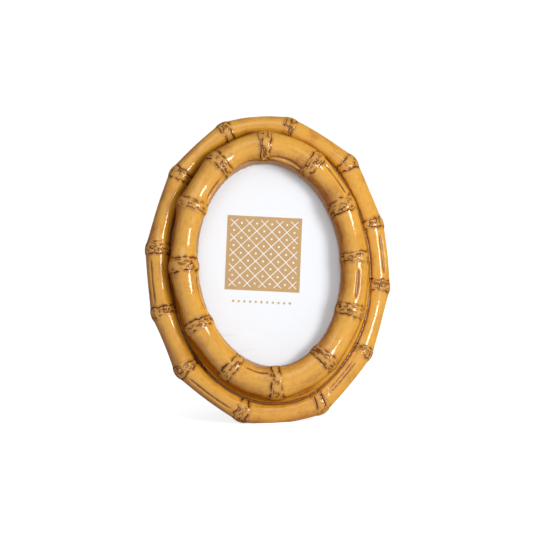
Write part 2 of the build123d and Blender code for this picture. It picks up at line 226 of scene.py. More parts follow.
# Bands of both rings, node by node: half the length, the shift along the ring, the weight of the carved lines
# at the borders, and how much is scribbled between them
inner_bands = [
    (2.2, 0.0, 0.9, 1.0), (2.2, -0.6, 1.2, 0.35), (2.0, -0.4, 0.7, 0.3), (2.9, -0.7, 1.1, 0.6),
    (1.9, -0.4, 1.1, 0.6), (2.1, -0.2, 1.3, 0.3), (2.1, 0.1, 1.1, 0.5), (2.4, 0.0, 0.9, 0.8),
    (2.5, 0.0, 0.9, 0.7), (1.9, 0.3, 0.6, 0.6), (3.0, 0.2, 1.0, 0.9), (2.4, -0.4, 0.9, 0.6),
]
outer_bands = [
    (2.0, 0.0, 0.9, 0.7), (2.3, -0.1, 0.9, 0.5), (2.5, -0.5, 0.9, 0.8), (1.8, -0.3, 1.2, 0.7),
    (2.0, 0.5, 1.1, 0.7), (2.2, -0.6, 1.3, 0.6), (2.7, 0.3, 0.3, 0.2), (1.7, 0.4, 0.9, 0.8),
    (2.3, 0.1, 1.0, 0.9), (1.8, 0.3, 1.0, 0.4), (2.3, -0.2, 1.2, 0.6), (2.0, -0.2, 0.9, 0.7),
]
all_bands = np.array([inner_bands, outer_bands])
band_overlap = 1.4

near = on_rings(to_flat(read_points(moulding.data)))
ring_number = near["lower"].astype(int)
half_length, shift = all_bands[ring_number, near["number"]][:, :2].T
by_band = (np.abs(near["along"] - shift) < half_length + band_overlap) & (near["front"] > -near["radius"] / 2)
carved = bmesh.new()
carved.from_mesh(moulding.data)
carved.verts.ensure_lookup_table()
fine_edges = [edge for edge in carved.edges if by_band[edge.verts[0].index] and by_band[edge.verts[1].index]]
bmesh.ops.subdivide_edges(carved, edges=fine_edges, cuts=1, use_grid_fill=True, smooth=0.0)
carved.to_mesh(moulding.data)
carved.free()
skin = moulding.data
for polygon in skin.polygons:
    polygon.use_smooth = True

# The carver cut two ragged lines round each band and scribbled between them: curls, and short strokes beside
# the borders. Each stroke is rows of: place along the culm, place around it, half its width.
stroke_step = 0.12
knot_step = 1.3
border_wander = 0.42
border_half_width = 0.3
border_strength = (-0.1, 1)              # below nothing, the line has a break
curl_reach = (0.6, 1.4)
curl_squash = (0.4, 0.75)
curl_sweep = (3.2, 5.8)
curl_wobble = 0.18
curl_half_width = (0.07, 0.19)
curl_taper = 0.35
dash_length = (0.8, 2.4)
dash_lean = 0.35
dash_spread = 0.85
dash_half_width = (0.05, 0.18)
marks_a_band = 40
marks_spread = 0.62                      # of half the way round the culm
inward_shift = 0.22                      # of the same, for marks on the inner ring
inward_marks = 0.9                       # how much wider a mark on the inner ring is towards the picture
# Two long slits run across one band of the outer ring, low at the right: both ends, and half the width
slit_band = 6
long_slits = [((-1.8, 3.0), (-1.1, -2.3), 0.3), ((0.7, 3.9), (3.1, -2.3), 0.32)]
carver = np.random.default_rng(24)


def border_strokes(half_length, weight, around):
    """Two ragged lines, which come and go."""
    knots = np.arange(around[0], around[-1] + knot_step, knot_step)
    lines = []
    for side in (-1, 1):
        wander = np.interp(around, knots, carver.uniform(-border_wander, border_wander, len(knots)))
        strength = np.interp(around, knots, carver.uniform(*border_strength, len(knots)))
        wide = strength * border_half_width * weight
        lines.append(np.stack([side * half_length + wander, around, wide], axis=1))
    return lines


def curl_stroke(half_length, place):
    """An open loop, longer around the culm than along it."""
    reach = carver.uniform(*curl_reach)
    squash = min(reach * carver.uniform(*curl_squash), half_length / 2)
    start, sweep = carver.uniform(0, 2 * math.pi), carver.uniform(*curl_sweep)
    turns = start + np.linspace(0, sweep, int(sweep * reach / stroke_step))
    wobble = 1 + curl_wobble * np.sin(3 * turns + start)
    along = carver.uniform(-1, 1) * (half_length - squash) + squash * wobble * np.cos(turns)
    taper = np.sin(np.linspace(curl_taper, math.pi - curl_taper, len(turns)))
    wide = carver.uniform(*curl_half_width) * taper
    return np.stack([along, place + reach * wobble * np.sin(turns), wide], axis=1)


def dash_stroke(half_length, place):
    """A short stroke, which tapers at both ends."""
    length = carver.uniform(*dash_length)
    shares = np.linspace(0, 1, int(length / stroke_step))
    lean_along = carver.uniform(-dash_lean, dash_lean) * length
    along = carver.uniform(-dash_spread, dash_spread) * half_length + lean_along * (shares - 0.5)
    wide = carver.uniform(*dash_half_width) * np.sin(math.pi * (0.1 + 0.8 * shares))
    return np.stack([along, place + length * (shares - 0.5), wide], axis=1)


def slit_stroke(start, end, half_width):
    """A straight cut, blunt at both ends."""
    shares = np.arange(0, 1, stroke_step / math.dist(start, end))[:, None]
    places = np.array(start) + shares * (np.array(end) - np.array(start))
    return np.hstack([places, half_width * np.sin(math.pi * (0.2 + 0.6 * shares))])


near = on_rings(to_flat(read_points(skin)))
ring_number = near["lower"].astype(int)
half_length, shift = all_bands[ring_number, near["number"]][:, :2].T
along = near["along"] - shift
around = np.arctan2(near["out"], near["front"]) * near["radius"]
crack, stain_rim, in_band = np.zeros(len(along)), np.zeros(len(along)), np.zeros(len(along))
band_edge = 0.3
crack_edge = 0.2
least_half_width = 0.03
rim_reach = 1.1
rim_full_half_width = 0.15
for ring, bands in enumerate((inner_bands, outer_bands)):
    for number, (reach, _, weight, scribble) in enumerate(bands):
        there = np.where((ring_number == ring) & (near["number"] == number)
                         & (np.abs(along) < reach + band_overlap))[0]
        girth = near["radius"][there].mean() * math.pi
        lines = border_strokes(reach, weight, np.arange(-girth, girth, stroke_step))
        low = np.interp(around[there], lines[0][:, 1], lines[0][:, 0])
        high = np.interp(around[there], lines[1][:, 1], lines[1][:, 0])
        inside = np.minimum(along[there] - low, high - along[there])
        in_band[there] = np.clip(inside / band_edge + 0.5, 0, 1)
        for mark in range(round(marks_a_band * scribble)):
            inward_pull = inward_shift * girth if ring == 0 else 0.0
            place = carver.uniform(-marks_spread, marks_spread) * girth - inward_pull * carver.uniform(0, 1)
            lines.append((curl_stroke if mark % 2 else dash_stroke)(reach, place))
            if ring == 0:
                lines[-1][:, 2] *= 1 + inward_marks * np.clip(-place / (0.4 * girth), 0, 1)
        if ring == 1 and number == slit_band:
            lines += [slit_stroke(*slit) for slit in long_slits]
        rows = np.concatenate(lines)
        tree = kdtree.KDTree(len(rows))
        for row, (x, y, _) in enumerate(rows):
            tree.insert((x, y, 0), row)
        tree.balance()
        nearest = [tree.find((x, y, 0)) for x, y in zip(along[there], around[there])]
        wide = rows[[row for _, row, _ in nearest], 2]
        away = np.array([distance for _, _, distance in nearest])
        crack[there] = np.clip((wide - away) / crack_edge + 0.5, 0, 1) * (wide > least_half_width)
        rim_strength = np.clip(wide / rim_full_half_width, 0, 1)
        stain_rim[there] = np.clip(1 - (away - wide) / rim_reach, 0, 1) * rim_strength

# Relief, always cut in, so that the casting keeps its size: the strokes, the rough ground between them, and
# the unevenness of hand work, which makes the highlights wander
crack_depth = 0.3
ground_depth = 0.18
ground_wave = 1.3
wander_depth = 0.12
wander_wave = 5.0
groove_sharpening = 2.0
groove_limit = 0.1
culm_skin = 0.8                          # how far off a culm's round the skin still counts as culm
ring_offset = 40.0                       # keeps the two rings' patterns apart
grain_place = np.stack([near["run"], near["out"], near["front"] + ring_offset * ring_number], axis=-1)
on_culm = (near["front"] > 0) & (np.abs(near["gap"]) < culm_skin)
rough = 0.5 - 0.5 * noise_at(grain_place, ground_wave)
uneven = 0.5 - 0.5 * noise_at(grain_place, wander_wave)
groove = np.empty(len(along))
skin.attributes["groove"].data.foreach_get("value", groove)
depth = crack_depth * crack + ground_depth * rough * in_band + wander_depth * uneven
depth += groove_sharpening * np.clip(groove, 0, groove_limit)
skin_points = read_points(skin) - read_points(skin, "normal") * (depth * on_culm * mm)[:, None]
skin.vertices.foreach_set("co", skin_points.ravel())
skin.update()

# Stain: thin on the crests, heavier on the flanks, by the cleft and in grooves. On the flanks and clefts that
# face left, away from the key softbox at the right, more is laid on as painted shade. The wall inside the
# opening and the back are left as bare tan resin.
crest_stain = 0.05
waist_stain = 0.15
flank_stain_and_shade = 1.35
cleft_stain_and_shade = 0.6
cleft_shade_reach = 3.0
patch_stain = 0.5
patch_wave = 8.0
groove_stain_and_shade = 0.5
groove_full_depth = 0.06
left_shade_strength = 0.9
skin_normals = read_points(skin, "normal")
# painted shade: the side facing left, away from the key softbox, takes more amber and brown
left_facing_shade = np.clip(0.5 - left_shade_strength * (skin_normals @ across), 0, 1)
flank = 1 - np.clip(near["front"] / near["radius"], 0, 1)
by_cleft = np.clip(1 - near["cleft"] / cleft_shade_reach, 0, 1)
# the flank and cleft terms are partly stain and partly painted shade, weighted to the side facing left
stain_and_shade = crest_stain + waist_stain * near["middle"] + left_facing_shade * (flank_stain_and_shade * flank + cleft_stain_and_shade * by_cleft)
stain_and_shade += patch_stain * noise_at(grain_place, patch_wave)
# grooves darkened: stain, and painted shade in the crease
stain_and_shade += groove_stain_and_shade * np.clip(groove / groove_full_depth, -0.5, 1)
wall_gap = 0.15                          # the wall stands at least this far off the inner culms
wall_gap_edge = 0.4
wall_height_edge = 1.5
inward = (ring_number == 0) & (near["out"] < 0)
off_culm = np.clip((near["gap"] - wall_gap) / wall_gap_edge, 0, 1)
wall = inward * off_culm * np.clip(-near["front"] / wall_height_edge, 0, 1)
facing_back = np.clip(-4 * (skin_normals @ forward) - 1, 0, 1)
bare = np.maximum(wall, facing_back)
store(skin, "grain_place", grain_place)
store(skin, "crack", crack * on_culm)
store(skin, "stain_rim", stain_rim * on_culm)
store(skin, "in_band", in_band * on_culm)
store(skin, "stain_and_shade", np.clip(stain_and_shade, 0, 1))
store(skin, "cleft", near["cleft"])
store(skin, "bare", bare)


def linear(hex_colour):
    """An sRGB hex colour as linear red, green and blue, with full alpha."""
    channels = [int(hex_colour[place:place + 2], 16) / 255 for place in (1, 3, 5)]
    return (*[c / 12.92 if c <= 0.04045 else ((c + 0.055) / 1.055) ** 2.4 for c in channels], 1.0)


def add_node(material, kind, inputs=None, output=0, **settings):
    """Adds a shader node with its settings. An input takes a value or another node's output."""
    added = material.node_tree.nodes.new("ShaderNode" + kind)
    for name, value in settings.items():
        setattr(added, name, value)
    for place, value in (inputs or {}).items():
        if isinstance(value, bpy.types.NodeSocket):
            material.node_tree.links.new(value, added.inputs[place])
        else:
            added.inputs[place].default_value = value
    return added.outputs[output] if added.outputs else added


def new_material(name):
    """An empty node material."""
    material = bpy.data.materials.new(name)
    material.use_nodes = True
    material.node_tree.nodes.clear()
    return material


# Glazed polyester resin: opaque, smooth and hard, with a clear glossy coat that gives crisp white highlights.
# The stain under it runs from honey to amber, and is brown in every crack; the amber and brown also carry
# painted shade on flanks that face left, in hollows and in the cleft. The coat's gloss is held back at a
# slant, because the flanks of the real frame show no white haze.
streak_length = 8.0
streak_width = 0.6
blot_size = 2.2
mottling = 0.8
speck_size = 0.8                         # twice as coarse as the real pigment, so that it shows
grits_per_mm = 1.8
relief_height = 0.15
band_share_of_tan = 0.35
rim_darkness = 0.75
crack_darkness = 0.92
resin = new_material("glazed_resin")
grain_at = add_node(resin, "Attribute", output="Vector", attribute_name="grain_place")
crack_at = add_node(resin, "Attribute", output="Fac", attribute_name="crack")
rim_at = add_node(resin, "Attribute", output="Fac", attribute_name="stain_rim")
band_at = add_node(resin, "Attribute", output="Fac", attribute_name="in_band")
stain_and_shade_at = add_node(resin, "Attribute", output="Fac", attribute_name="stain_and_shade")
hollow_at = add_node(resin, "Attribute", output="Fac", attribute_name="hollow")
groove_at = add_node(resin, "Attribute", output="Fac", attribute_name="groove")
cleft_at = add_node(resin, "Attribute", output="Fac", attribute_name="cleft")
bare_at = add_node(resin, "Attribute", output="Fac", attribute_name="bare")

# Stained ground, honey to amber; the amber is partly painted shade on flanks that face left and by the cleft
streak_scale = (1 / streak_length, 1 / streak_width, 1 / streak_width)
streak_at = add_node(resin, "VectorMath", {0: grain_at, 1: streak_scale}, operation="MULTIPLY")
streaks = add_node(resin, "TexNoise", {"Vector": streak_at, "Scale": 1.0, "Detail": 4.0, "Roughness": 0.6})
blots = add_node(resin, "TexNoise", {"Vector": grain_at, "Scale": 1 / blot_size, "Detail": 3.0})
streak_part = add_node(
    resin, "Math", {0: streaks, 1: mottling, 2: -mottling / 2}, operation="MULTIPLY_ADD",
)
blot_part = add_node(resin, "Math", {0: blots, 1: mottling, 2: -mottling / 2}, operation="MULTIPLY_ADD")
unevenly = add_node(resin, "Math", {0: streak_part, 1: blot_part}, operation="ADD")
stained_and_shaded = add_node(resin, "Math", {0: stain_and_shade_at, 1: unevenly}, operation="ADD", use_clamp=True)
ground = add_node(
    resin, "Mix", {0: stained_and_shaded, 6: linear("#DDA036"), 7: linear("#9E5802")}, output=2, data_type="RGBA",
)

# Bare tan resin, a tanner ground in the bands, and brown in hollows, grooves and the cleft between the rings,
# partly stain and partly painted shade
bare_colour = add_node(
    resin, "Mix", {0: blots, 6: linear("#BE9470"), 7: linear("#A87F5E")}, output=2, data_type="RGBA",
)
walled = add_node(resin, "Mix", {0: bare_at, 6: ground, 7: bare_colour}, output=2, data_type="RGBA")
band_share = add_node(resin, "Math", {0: band_at, 1: band_share_of_tan}, operation="MULTIPLY")
banded = add_node(resin, "Mix", {0: band_share, 6: walled, 7: linear("#CE9442")}, output=2, data_type="RGBA")
deep = add_node(
    resin, "MapRange", {0: hollow_at, 1: 0.5, 2: 1.2, 3: 0.0, 4: 0.6}, interpolation_type="SMOOTHSTEP",
)
grooved = add_node(
    resin, "MapRange", {0: groove_at, 1: 0.02, 2: 0.09, 3: 0.0, 4: 0.75}, interpolation_type="SMOOTHSTEP",
)
narrow = add_node(
    resin, "MapRange", {0: cleft_at, 1: 0.05, 2: 0.5, 3: 0.8, 4: 0.0}, interpolation_type="SMOOTHSTEP",
)
cleft_mottle = add_node(resin, "Math", {0: blots, 1: 1.2, 2: 0.15}, operation="MULTIPLY_ADD")
cleft_part = add_node(resin, "Math", {0: narrow, 1: cleft_mottle}, operation="MULTIPLY", use_clamp=True)
deep_or_grooved = add_node(resin, "Math", {0: deep, 1: grooved}, operation="MAXIMUM")
deepest = add_node(resin, "Math", {0: deep_or_grooved, 1: cleft_part}, operation="MAXIMUM")
# painted shade and stain: brown laid into hollows, grooves and the cleft, darkest where narrowest
hollow_stain_and_shade = add_node(resin, "Math", {0: deepest, 1: bare_at}, operation="SUBTRACT", use_clamp=True)
hollow_stained_and_shaded = add_node(resin, "Mix", {0: hollow_stain_and_shade, 6: banded, 7: linear("#74400E")}, output=2, data_type="RGBA")

# Specks of pigment, a brown rim beside each stroke, and dark brown in the strokes
specks = add_node(resin, "TexNoise", {"Vector": grain_at, "Scale": 2 / speck_size, "Detail": 2.0})
speck = add_node(
    resin, "MapRange", {0: specks, 1: 0.6, 2: 0.74, 3: 0.0, 4: 0.5}, interpolation_type="SMOOTHSTEP",
)
specked = add_node(resin, "Mix", {0: speck, 6: hollow_stained_and_shaded, 7: linear("#7A4A16")}, output=2, data_type="RGBA")
rim_share = add_node(resin, "Math", {0: rim_at, 1: rim_darkness}, operation="MULTIPLY")
rimmed = add_node(resin, "Mix", {0: rim_share, 6: specked, 7: linear("#94570F")}, output=2, data_type="RGBA")
inked_share = add_node(resin, "Math", {0: crack_at, 1: crack_darkness}, operation="MULTIPLY")
inked = add_node(resin, "Mix", {0: inked_share, 6: rimmed, 7: linear("#522A0A")}, output=2, data_type="RGBA")

# Fine relief: grit in the bands and faint fibres along the culms, softened by the glaze
grit = add_node(resin, "TexNoise", {"Vector": grain_at, "Scale": grits_per_mm, "Detail": 3.0})
grit_height = add_node(resin, "Math", {0: grit, 1: band_at}, operation="MULTIPLY")
height = add_node(resin, "Math", {0: streaks, 1: 0.15, 2: grit_height}, operation="MULTIPLY_ADD")
relief = add_node(resin, "Bump", {"Height": height, "Strength": 0.5, "Distance": relief_height * mm})

# The glaze: thin in the strokes and on bare resin, with its gloss held back at a slant
roughness = add_node(resin, "MapRange", {0: crack_at, 1: 0.0, 2: 1.0, 3: 0.35, 4: 0.7})
glazed = add_node(resin, "MapRange", {0: crack_at, 1: 0.0, 2: 1.0, 3: 0.9, 4: 0.1})
unglazed = add_node(resin, "Math", {0: bare_at, 1: 0.6}, operation="MULTIPLY")
glaze_laid = add_node(resin, "Math", {0: glazed, 1: unglazed}, operation="SUBTRACT", use_clamp=True)
slant = add_node(resin, "LayerWeight", {"Blend": 0.5}, output="Facing")
slant_part = add_node(resin, "Math", {0: slant, 1: -1.6, 2: 1.0}, operation="MULTIPLY_ADD", use_clamp=True)
glaze = add_node(resin, "Math", {0: glaze_laid, 1: slant_part}, operation="MULTIPLY", use_clamp=True)
resin_surface = add_node(resin, "BsdfPrincipled", {
    "Base Color": inked, "Roughness": roughness, "IOR": 1.5, "Specular IOR Level": 0.05, "Normal": relief,
    "Coat Weight": glaze, "Coat Roughness": 0.05, "Coat IOR": 1.57, "Coat Normal": relief,
})
add_node(resin, "OutputMaterial", {"Surface": resin_surface})
skin.materials.clear()
skin.materials.append(resin)
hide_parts("moulding")
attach(moulding, "frame")

# Glazing: an oval cut from clear float glass with its edges ground, lying on the ledge inside the moulding.
# It is loose, held only by what is stacked behind it, so a film of air is left between it and the card.
ground_edge = 0.3
sharp_edge = math.radians(40)            # an edge turned by more than this is ground or rounded
air_film = 0.03

# Float glass: clear, flat and nearly without colour, it shows only by what it mirrors. Light goes through it
# to the card and back without a shadow.
glass = new_material("float_glass")
pane_glass = add_node(glass, "BsdfPrincipled", {
    "Base Color": linear("#FDFDFD"), "Roughness": 0.0, "IOR": 1.5, "Transmission Weight": 1.0,
})
clear = add_node(glass, "BsdfTransparent", {"Color": linear("#FDFEFD")})
glass_shadow = add_node(glass, "LightPath", output="Is Shadow Ray")
glass_diffuse = add_node(glass, "LightPath", output="Is Diffuse Ray")
let_through = add_node(glass, "Math", {0: glass_shadow, 1: glass_diffuse}, operation="MAXIMUM")
glass_surface = add_node(glass, "MixShader", {0: let_through, 1: pane_glass, 2: clear})
add_node(glass, "OutputMaterial", {"Surface": glass_surface})

pane = copied_node("glass_pane", "glazing")
pane_points = read_points(pane.data)
pane_places = to_flat(pane_points)[:, 2]
pane_middle = (pane_places.max() + pane_places.min()) / 2
pane_points -= np.sign(pane_places - pane_middle)[:, None] * forward * air_film * mm
pane.data.vertices.foreach_set("co", pane_points.ravel())
grind = pane.modifiers.new("ground_edge", "BEVEL")
grind.width = ground_edge * mm
grind.limit_method = "ANGLE"
grind.angle_limit = sharp_edge
set_modifiers(pane)
pane.data.materials.clear()
pane.data.materials.append(glass)
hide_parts("glazing")
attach(pane, "frame")


def finish_node(node, material):
    """Gives a node of the frame its material."""
    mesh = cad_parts[node].data
    mesh.materials.clear()
    mesh.materials.append(material)


# Insert card: coated white paper, die cut to the pocket, behind the glass. It shows buyers where a photograph
# goes, with a tan trellis panel and a row of beads under it, printed in one colour.
panel_centre = (-2.1, 4.9)
panel_turn = math.radians(-5)
panel_half = 15.85
trellis_spacing = 6.4
trellis_line = 0.16
bud_half = 0.7
panel_margin = 1.5
beads_place = -20.6
beads_half_length = 13.3
bead_spacing = 2.4
bead_half = 0.62
panel_edge = 0.06
trellis_edge = 0.12
motif_edge = 0.1
paper_cloud = 0.4

# Coated card: a smooth, slightly cool white that takes a crisp print and a soft sheen
card = new_material("coated_card")
card_at = add_node(card, "TexCoord", output="Object")
panel_middle = middle + (panel_centre[0] * across + panel_centre[1] * upward) * mm
panel_right = across * math.cos(panel_turn) + upward * math.sin(panel_turn)
panel_up = upward * math.cos(panel_turn) - across * math.sin(panel_turn)
card_away = add_node(card, "VectorMath", {0: card_at, 1: tuple(panel_middle)}, operation="SUBTRACT")
card_right = add_node(card, "VectorMath", {0: card_away, 1: tuple(panel_right / mm)}, output="Value",
                      operation="DOT_PRODUCT")
card_up = add_node(card, "VectorMath", {0: card_away, 1: tuple(panel_up / mm)}, output="Value",
                   operation="DOT_PRODUCT")
right_size = add_node(card, "Math", {0: card_right}, operation="ABSOLUTE")
up_size = add_node(card, "Math", {0: card_up}, operation="ABSOLUTE")
from_middle = add_node(card, "Math", {0: right_size, 1: up_size}, operation="MAXIMUM")
in_panel = add_node(card, "MapRange", {
    0: from_middle, 1: panel_half - panel_edge, 2: panel_half + panel_edge, 3: 1.0, 4: 0.0,
})
in_margin = add_node(card, "MapRange", {
    0: from_middle, 1: panel_half - panel_margin, 2: panel_half - panel_margin + motif_edge, 3: 1.0, 4: 0.0,
})
rising = add_node(card, "Math", {0: card_right, 1: card_up}, operation="ADD")
falling = add_node(card, "Math", {0: card_right, 1: card_up}, operation="SUBTRACT")
rising_wave = add_node(card, "Math", {0: rising, 1: trellis_spacing / 2}, operation="PINGPONG")
falling_wave = add_node(card, "Math", {0: falling, 1: trellis_spacing / 2}, operation="PINGPONG")
lattice = add_node(card, "Math", {0: rising_wave, 1: falling_wave}, operation="MINIMUM")
lattice_line = add_node(card, "MapRange", {
    0: lattice, 1: trellis_line, 2: trellis_line + trellis_edge, 3: 1.0, 4: 0.0,
})
bud_away = add_node(card, "Math", {0: rising_wave, 1: falling_wave}, operation="ADD")
bud = add_node(card, "MapRange", {
    0: bud_away, 1: trellis_spacing - bud_half - motif_edge, 2: trellis_spacing - bud_half,
})
motif = add_node(card, "Math", {0: lattice_line, 1: bud}, operation="MAXIMUM")
motif_inside = add_node(card, "Math", {0: motif, 1: in_margin}, operation="MULTIPLY")
panel_ink = add_node(card, "Math", {0: in_panel, 1: motif_inside}, operation="SUBTRACT", use_clamp=True)
beads_up = add_node(card, "Math", {0: card_up, 1: beads_place}, operation="SUBTRACT")
beads_up_size = add_node(card, "Math", {0: beads_up}, operation="ABSOLUTE")
beads_wave = add_node(card, "Math", {0: card_right, 1: bead_spacing / 2}, operation="PINGPONG")
bead_size = add_node(card, "Math", {0: beads_up_size, 1: beads_wave}, operation="ADD")
bead = add_node(card, "MapRange", {
    0: bead_size, 1: bead_half, 2: bead_half + motif_edge, 3: 0.9, 4: 0.0,
})
beads_end = add_node(card, "MapRange", {
    0: right_size, 1: beads_half_length, 2: beads_half_length + motif_edge, 3: 1.0, 4: 0.0,
})
beads_ink = add_node(card, "Math", {0: bead, 1: beads_end}, operation="MULTIPLY")
ink = add_node(card, "Math", {0: panel_ink, 1: beads_ink}, operation="MAXIMUM", use_clamp=True)
paper_grain = add_node(card, "TexNoise", {
    "Vector": card_at, "Scale": 1 / (paper_cloud * mm), "Detail": 2.0,
})
paper = add_node(
    card, "Mix", {0: paper_grain, 6: linear("#F0F2FB"), 7: linear("#F6F8FF")}, output=2, data_type="RGBA",
)
print_grain = add_node(
    card, "Mix", {0: paper_grain, 6: linear("#BC8F4A"), 7: linear("#C29650")}, output=2, data_type="RGBA",
)
printed = add_node(card, "Mix", {0: ink, 6: paper, 7: print_grain}, output=2, data_type="RGBA")
paper_relief = add_node(card, "Bump", {"Height": paper_grain, "Strength": 0.1, "Distance": 0.02 * mm})
card_surface = add_node(card, "BsdfPrincipled", {
    "Base Color": printed, "Roughness": 0.45, "IOR": 1.45, "Normal": paper_relief,
})
add_node(card, "OutputMaterial", {"Surface": card_surface})
finish_node("insert_card", card)

# Filler board: grey board of recycled paper, die cut to the same oval as the card and laid loose behind it.
# It takes up the depth of the pocket and presses the card flat against the glass.
pulp_fleck = 1.11

# Grey board: matte, with darker fibres and flecks of pulped print
greyboard = new_material("grey_board")
greyboard_at = add_node(greyboard, "TexCoord", output="Object")
pulp = add_node(greyboard, "TexNoise", {
    "Vector": greyboard_at, "Scale": 1 / (pulp_fleck * mm), "Detail": 5.0, "Roughness": 0.7,
})
pulp_colour = add_node(
    greyboard, "Mix", {0: pulp, 6: linear("#6F6A62"), 7: linear("#A39D92")}, output=2, data_type="RGBA",
)
pulp_relief = add_node(greyboard, "Bump", {"Height": pulp, "Strength": 0.4, "Distance": 0.05 * mm})
greyboard_surface = add_node(greyboard, "BsdfPrincipled", {
    "Base Color": pulp_colour, "Roughness": 0.9, "IOR": 1.45, "Normal": pulp_relief,
})
add_node(greyboard, "OutputMaterial", {"Surface": greyboard_surface})
finish_node("filler_board", greyboard)

# Backboard and easel leg: hardboard, sawn from the sheet, each with black velvet paper glued round it. The
# leg's foot is sawn square to the table, and the velvet's edges are rounded by the glue under them.
wood_fibre = 0.714
velvet_edge = 0.35
velvet_pile = 0.25
brushed_cloud = 14.3

# Hardboard: pressed brown wood fibre, with a fine felt of darker fibres
hardboard = new_material("hardboard")
hardboard_at = add_node(hardboard, "TexCoord", output="Object")
fibre = add_node(hardboard, "TexNoise", {
    "Vector": hardboard_at, "Scale": 1 / (wood_fibre * mm), "Detail": 4.0, "Distortion": 1.5,
})
fibre_colour = add_node(
    hardboard, "Mix", {0: fibre, 6: linear("#4E3524"), 7: linear("#86603F")}, output=2, data_type="RGBA",
)
fibre_relief = add_node(hardboard, "Bump", {"Height": fibre, "Strength": 0.4, "Distance": 0.05 * mm})
hardboard_surface = add_node(hardboard, "BsdfPrincipled", {
    "Base Color": fibre_colour, "Roughness": 0.75, "IOR": 1.45, "Normal": fibre_relief,
})
add_node(hardboard, "OutputMaterial", {"Surface": hardboard_surface})
finish_node("backboard", hardboard)
finish_node("easel_leg", hardboard)

# Velvet paper: short black nylon pile on paper, dead matte from straight above, with a soft sheen at a slant
# and clouds where it has been brushed. The pile is drawn three times as coarse as the real one.
velvet = new_material("black_velvet_paper")
velvet_at = add_node(velvet, "TexCoord", output="Object")
pile = add_node(velvet, "TexNoise", {"Vector": velvet_at, "Scale": 1 / (velvet_pile * mm), "Detail": 2.0})
brushed = add_node(velvet, "TexNoise", {
    "Vector": velvet_at, "Scale": 1 / (brushed_cloud * mm), "Detail": 3.0,
})
pile_shade = add_node(velvet, "Math", {0: pile, 1: 0.5}, operation="MULTIPLY")
brushed_shade = add_node(velvet, "Math", {0: brushed, 1: 0.5, 2: pile_shade}, operation="MULTIPLY_ADD")
pile_colour = add_node(
    velvet, "Mix", {0: brushed_shade, 6: linear("#131211"), 7: linear("#403D3A")}, output=2, data_type="RGBA",
)
pile_relief = add_node(velvet, "Bump", {"Height": pile, "Strength": 0.7, "Distance": 0.12 * mm})
velvet_surface = add_node(velvet, "BsdfPrincipled", {
    "Base Color": pile_colour, "Roughness": 0.95, "IOR": 1.45, "Normal": pile_relief,
    "Sheen Weight": 0.8, "Sheen Roughness": 0.45, "Sheen Tint": linear("#A8A39E"),
})
add_node(velvet, "OutputMaterial", {"Surface": velvet_surface})

for node, body in (("back_velvet", "frame"), ("easel_leg_velvet", "leg")):
    cover = copied_node(node + "_cover", node)
    rounded = cover.modifiers.new("glued_edges", "BEVEL")
    rounded.width = velvet_edge * mm
    rounded.segments = 3
    rounded.limit_method = "ANGLE"
    rounded.angle_limit = sharp_edge
    set_modifiers(cover)
    cover.data.materials.clear()
    cover.data.materials.append(velvet)
    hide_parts(node)
    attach(cover, body)

# Turn buttons: pressed from steel strip and chemically blackened, each turning stiffly on its screw so that
# its tongue lies over the backboard or clears it
oxide_cloud = 2.0

# Blackened steel: a thin brown-black oxide that is worn back to bright steel on the high spots
black_steel = new_material("blackened_steel")
black_steel_at = add_node(black_steel, "TexCoord", output="Object")
oxide = add_node(black_steel, "TexNoise", {
    "Vector": black_steel_at, "Scale": 1 / (oxide_cloud * mm), "Detail": 4.0,
})
oxide_colour = add_node(
    black_steel, "Mix", {0: oxide, 6: linear("#1B1917"), 7: linear("#3A3633")}, output=2, data_type="RGBA",
)
oxide_roughness = add_node(black_steel, "MapRange", {0: oxide, 1: 0.3, 2: 0.7, 3: 0.32, 4: 0.5})
oxide_relief = add_node(black_steel, "Bump", {"Height": oxide, "Strength": 0.25, "Distance": 0.03 * mm})
black_steel_surface = add_node(black_steel, "BsdfPrincipled", {
    "Base Color": oxide_colour, "Metallic": 0.6, "Roughness": oxide_roughness, "Normal": oxide_relief,
})
add_node(black_steel, "OutputMaterial", {"Surface": black_steel_surface})
for corner in ("top_left", "top_right", "bottom_left", "bottom_right"):
    finish_node("turn_button_" + corner, black_steel)

# Screws, hinge leaves, pin and rivets: steel, pressed, turned or headed, and zinc plated. The screws hold the
# turn buttons, the rivets hold one leaf to the backboard and one to the leg, and the pin joins the leaves.
spangle = 1.2
rolling_width = 0.25                     # five times as coarse as the real rolling lines, so that they show
rolling_length = 3.33

# Zinc plate: a cool, slightly blue grey metal with a satin finish, cloudy from the plating bath
zinc = new_material("zinc_plated_steel")
zinc_at = add_node(zinc, "TexCoord", output="Object")
clouds = add_node(zinc, "TexNoise", {"Vector": zinc_at, "Scale": 1 / (spangle * mm), "Detail": 3.0})
rolling_scale = (1 / (rolling_width * mm), 1 / (rolling_length * mm), 1 / (rolling_length * mm))
rolled_at = add_node(zinc, "VectorMath", {0: zinc_at, 1: rolling_scale}, operation="MULTIPLY")
rolled = add_node(zinc, "TexNoise", {"Vector": rolled_at, "Scale": 1.0, "Detail": 2.0})
zinc_colour = add_node(
    zinc, "Mix", {0: clouds, 6: linear("#989DA4"), 7: linear("#BEC2C8")}, output=2, data_type="RGBA",
)
zinc_roughness = add_node(zinc, "MapRange", {0: clouds, 1: 0.3, 2: 0.7, 3: 0.25, 4: 0.42})
zinc_relief = add_node(zinc, "Bump", {"Height": rolled, "Strength": 0.15, "Distance": 0.02 * mm})
zinc_surface = add_node(zinc, "BsdfPrincipled", {
    "Base Color": zinc_colour, "Metallic": 1.0, "Roughness": zinc_roughness, "Normal": zinc_relief,
})
add_node(zinc, "OutputMaterial", {"Surface": zinc_surface})
